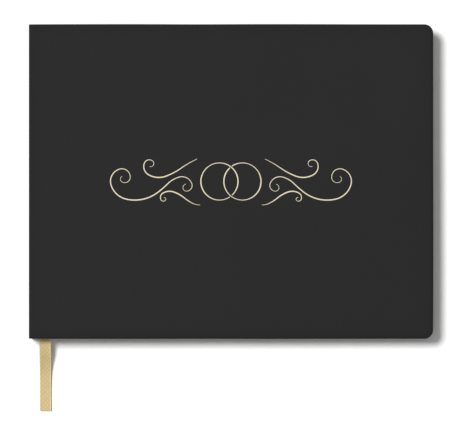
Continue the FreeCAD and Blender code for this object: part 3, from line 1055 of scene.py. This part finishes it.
def make_ribbon_tail():
    """The ribbon marker's free tail, woven, with firm edges, a slight cup and a plain cut end."""
    line = np.array(ribbon_line())
    run = np.gradient(line, axis=0)
    run /= np.linalg.norm(run, axis=1)[:, None]
    steps = np.linalg.norm(np.diff(line, axis=0), axis=1)
    travelled = np.concatenate([[0], np.cumsum(steps)])
    draw = random.Random(7)
    fray = [draw.uniform(-FRAY, FRAY) for _ in range(RIBBON_POINTS)]
    rings = []
    for place, direction, travel in zip(line, run, travelled):
        up = np.cross((1.0, 0.0, 0.0), direction)
        up = up if up[2] > 0 else -up
        cup = RIBBON_CUP * (1 - travel / travelled[-1])
        cut = [direction * pull for pull in fray] if travel == travelled[-1] else None
        rings.append(ribbon_ring(place, up, cup, travel * RIPPLES, cut))
    made = ribbon_mesh("ribbon_marker_tail", rings, travelled)
    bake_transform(made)
    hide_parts("ribbon_tail")


def make_ribbon_inside():
    """The length of ribbon that lies between two sections, up to the head."""
    level = (RIBBON_LOW.z + RIBBON_HIGH.z) / 2
    middle = (RIBBON_LOW.x + RIBBON_HIGH.x) / 2
    up = np.array((0.0, 0.0, 1.0))
    rings = []
    travelled = []
    for k in range(INSIDE_STEPS + 1):
        y = RIBBON_LOW.y + (RIBBON_HIGH.y - RIBBON_LOW.y) * k / INSIDE_STEPS
        rings.append(ribbon_ring(np.array((middle, y, level)), up, 0.0, y * RIPPLES))
        travelled.append(RIBBON_LOW.y - y)
    made = ribbon_mesh("ribbon_marker_inside", rings, travelled)
    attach(made, "text_block")
    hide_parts("ribbon_in_pages")


# ------------------------------------------------------------------------- foil

# Scrolls as chains of tangent arcs in millimetres: start, first heading in degrees, and the
# arcs as (radius, turn in degrees). Each is drawn again the other way round on the left. The foil's
# other sizes below are millimetres too.
SCROLLS = [
    (
        (25.5, -1.5), -10,
        ((2.0, -170), (3.2, -110), (5.9, -85), (14.4, -30), (54.1, 8), (21.6, 50),
         (11.7, 60), (7.2, 90), (4.7, 110), (3.1, 120), (1.8, 120)),
    ),
    (
        (38.0, -9.0), 169,
        ((1.0, 150), (1.6, 110), (2.9, 80), (7.3, 50), (19.4, 20), (29.0, -10), (9.7, -30)),
    ),
    (
        (46.0, 8.5), 199,
        ((1.8, -160), (3.0, -110), (5.4, -80), (11.8, -50), (39.5, -14), (59.2, 10)),
    ),
]
FOIL_LOW, FOIL_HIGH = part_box("foil_ornament")
RING_RADIUS = 10.5
RING_OFFSET = 6.5
RING_GAP = 0.075  # radians, half the break where a ring passes under the other
RING_STEPS = 160
POINT_PITCH = 0.4
# A scroll's line, at its ends and what its middle adds, and a ring's line and how much it swells.
SCROLL_LINE = (0.24, 0.44)
RING_LINE = (0.53, 0.13)
# How far a line reaches into the cover, and the height of its softened edge.
FOIL_SINK = 0.01
FOIL_EDGE = 0.015


def scroll_line(start, heading, arcs):
    """Points along a scroll, in millimetres, about POINT_PITCH apart."""
    x, y = start
    angle = math.radians(heading)
    line = [(x, y)]
    for radius, turn in arcs:
        steps = max(4, int(radius * abs(math.radians(turn)) / POINT_PITCH))
        part = math.radians(turn) / steps
        chord = 2 * radius * math.sin(abs(part) / 2)
        for _ in range(steps):
            angle += part / 2
            x += chord * math.cos(angle)
            y += chord * math.sin(angle)
            angle += part / 2
            line.append((x, y))
    return line


def stroke(line, widths):
    """The points and faces of a foil line: a flat band with softened edges, on the cover."""
    line = np.array(line, float)
    run = np.gradient(line, axis=0)
    run /= np.linalg.norm(run, axis=1)[:, None]
    side = np.stack([-run[:, 1], run[:, 0]], axis=1)
    low = FOIL_LOW.z / MM - FOIL_SINK
    high = FOIL_HIGH.z / MM
    edge = high - FOIL_EDGE
    rings = []
    for point, away, width in zip(line, side, widths):
        ring = []
        for share, z in ((1, low), (1, edge), (0.72, high), (-0.72, high), (-1, edge), (-1, low)):
            x, y = point + away * share * width / 2
            ring.append((x * MM, y * MM, z * MM))
        rings.append(ring)
    return loft(rings)


def scroll_strokes():
    """Every scroll on both sides, swelling in the middle and tapering to its ends."""
    thin, swell = SCROLL_LINE
    shells = []
    for start, heading, arcs in SCROLLS:
        line = scroll_line(start, heading, arcs)
        last = len(line) - 1
        widths = [thin + swell * math.sin(math.pi * k / last) ** 1.2 for k in range(last + 1)]
        for side in (1, -1):
            shells.append(stroke([(side * x, y) for x, y in line], widths))
    return shells


def ring_strokes():
    """The two linked rings. Each passes under the other at one crossing, where its line is broken."""
    middle, swell = RING_LINE
    meet = math.acos(RING_OFFSET / RING_RADIUS)
    shells = []
    for side in (1, -1):
        under = math.pi - meet if side > 0 else -meet
        ring = []
        widths = []
        for k in range(RING_STEPS + 1):
            angle = under + RING_GAP + (FULL_TURN - 2 * RING_GAP) * k / RING_STEPS
            x = side * RING_OFFSET + RING_RADIUS * math.cos(angle)
            ring.append((x, RING_RADIUS * math.sin(angle)))
            widths.append(middle + swell * math.cos(2 * angle + 0.6 * side))
        shells.append(stroke(ring, widths))
    return shells


def make_foil():
    """The stamped ornament, as one piece: two linked rings, and scrolls like pen strokes."""
    points = []
    faces = []
    for shell_points, shell_faces in scroll_strokes() + ring_strokes():
        faces += [tuple(i + len(points) for i in face) for face in shell_faces]
        points += shell_points
    made = piece("foil_scrolls", points, faces, FOIL)
    tidy_normals(made)
    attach(made, "front_cover")
    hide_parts("foil_ornament")


# --------------------------------------------------------------------- the shot


# The point that the camera looks down on is CAMERA_OVER, and VIEW_WIDTH is what it sees there.
FLOOR_SIZE = 6.0
FLOOR_COLOUR = (0.93, 0.93, 0.93, 1)
SKY_STRENGTH = 0.32
BACKDROP_STRENGTH = 1.0
WHITE = (1, 1, 1, 1)
LIGHT_STRENGTH = 3.1
LIGHT_ANGLE = 17  # degrees, how broad the light is
LIGHT_FROM = (-0.385, 0.26, 1.0)
CAMERA_DISTANCE = 3.0
VIEW_WIDTH = 267.4 * MM
SENSOR_WIDTH = 36.0
CAMERA_OVER = (3.1 * MM, -20.9 * MM)


def make_floor():
    """A matt white table."""
    bpy.ops.mesh.primitive_plane_add(size=FLOOR_SIZE, location=(0, 0, 0))
    floor = bpy.context.object
    floor.name = "floor"
    paint = Paint("white_table")
    floor.data.materials.append(
        paint.finish(Base_Color=FLOOR_COLOUR, Roughness=1.0, Specular_IOR_Level=0.0)
    )


def make_sky():
    """A soft even sky, which the camera sees as plain white."""
    world = bpy.data.worlds.new("studio")
    bpy.context.scene.world = world
    world.use_nodes = True
    nodes = world.node_tree.nodes
    links = world.node_tree.links
    sky = nodes["Background"]
    sky.inputs["Color"].default_value = WHITE
    sky.inputs["Strength"].default_value = SKY_STRENGTH
    backdrop = nodes.new("ShaderNodeBackground")
    backdrop.inputs["Color"].default_value = WHITE
    backdrop.inputs["Strength"].default_value = BACKDROP_STRENGTH
    seen = nodes.new("ShaderNodeLightPath")
    chosen = nodes.new("ShaderNodeMixShader")
    links.new(seen.outputs["Is Camera Ray"], chosen.inputs[0])
    links.new(sky.outputs[0], chosen.inputs[1])
    links.new(backdrop.outputs[0], chosen.inputs[2])
    links.new(chosen.outputs[0], nodes["World Output"].inputs["Surface"])


def make_light():
    """A broad light from the upper left."""
    key = bpy.data.lights.new("key", "SUN")
    key.energy = LIGHT_STRENGTH
    key.angle = math.radians(LIGHT_ANGLE)
    lamp = bpy.data.objects.new("key", key)
    bpy.context.collection.objects.link(lamp)
    lamp.rotation_mode = "QUATERNION"
    lamp.rotation_quaternion = Vector(LIGHT_FROM).to_track_quat("Z", "Y")


def make_camera():
    """A long lens straight above, with the head of the book at the top, and plain colours."""
    camera = bpy.data.cameras.new("camera")
    camera.sensor_width = SENSOR_WIDTH
    camera.lens = SENSOR_WIDTH * CAMERA_DISTANCE / VIEW_WIDTH
    camera.clip_end = 20.0
    holder = bpy.data.objects.new("camera", camera)
    bpy.context.collection.objects.link(holder)
    holder.location = (*CAMERA_OVER, COVER_HIGH.z + CAMERA_DISTANCE)
    bpy.context.scene.camera = holder
    bpy.context.scene.view_settings.view_transform = "Standard"
    bpy.context.scene.view_settings.look = "None"


make_camera()
paint_cad_nodes()
make_ribbon_tail()
make_ribbon_inside()
make_covers()
make_spine()
make_wrap_hinge("front")
make_endpaper_hinge("front")
make_wrap_hinge("back")
make_endpaper_hinge("back")
make_sections()
make_free_leaves()
make_back_flyleaf()
make_bands()
make_foil()
make_floor()
make_sky()
make_light()

bpy.context.view_layer.update()
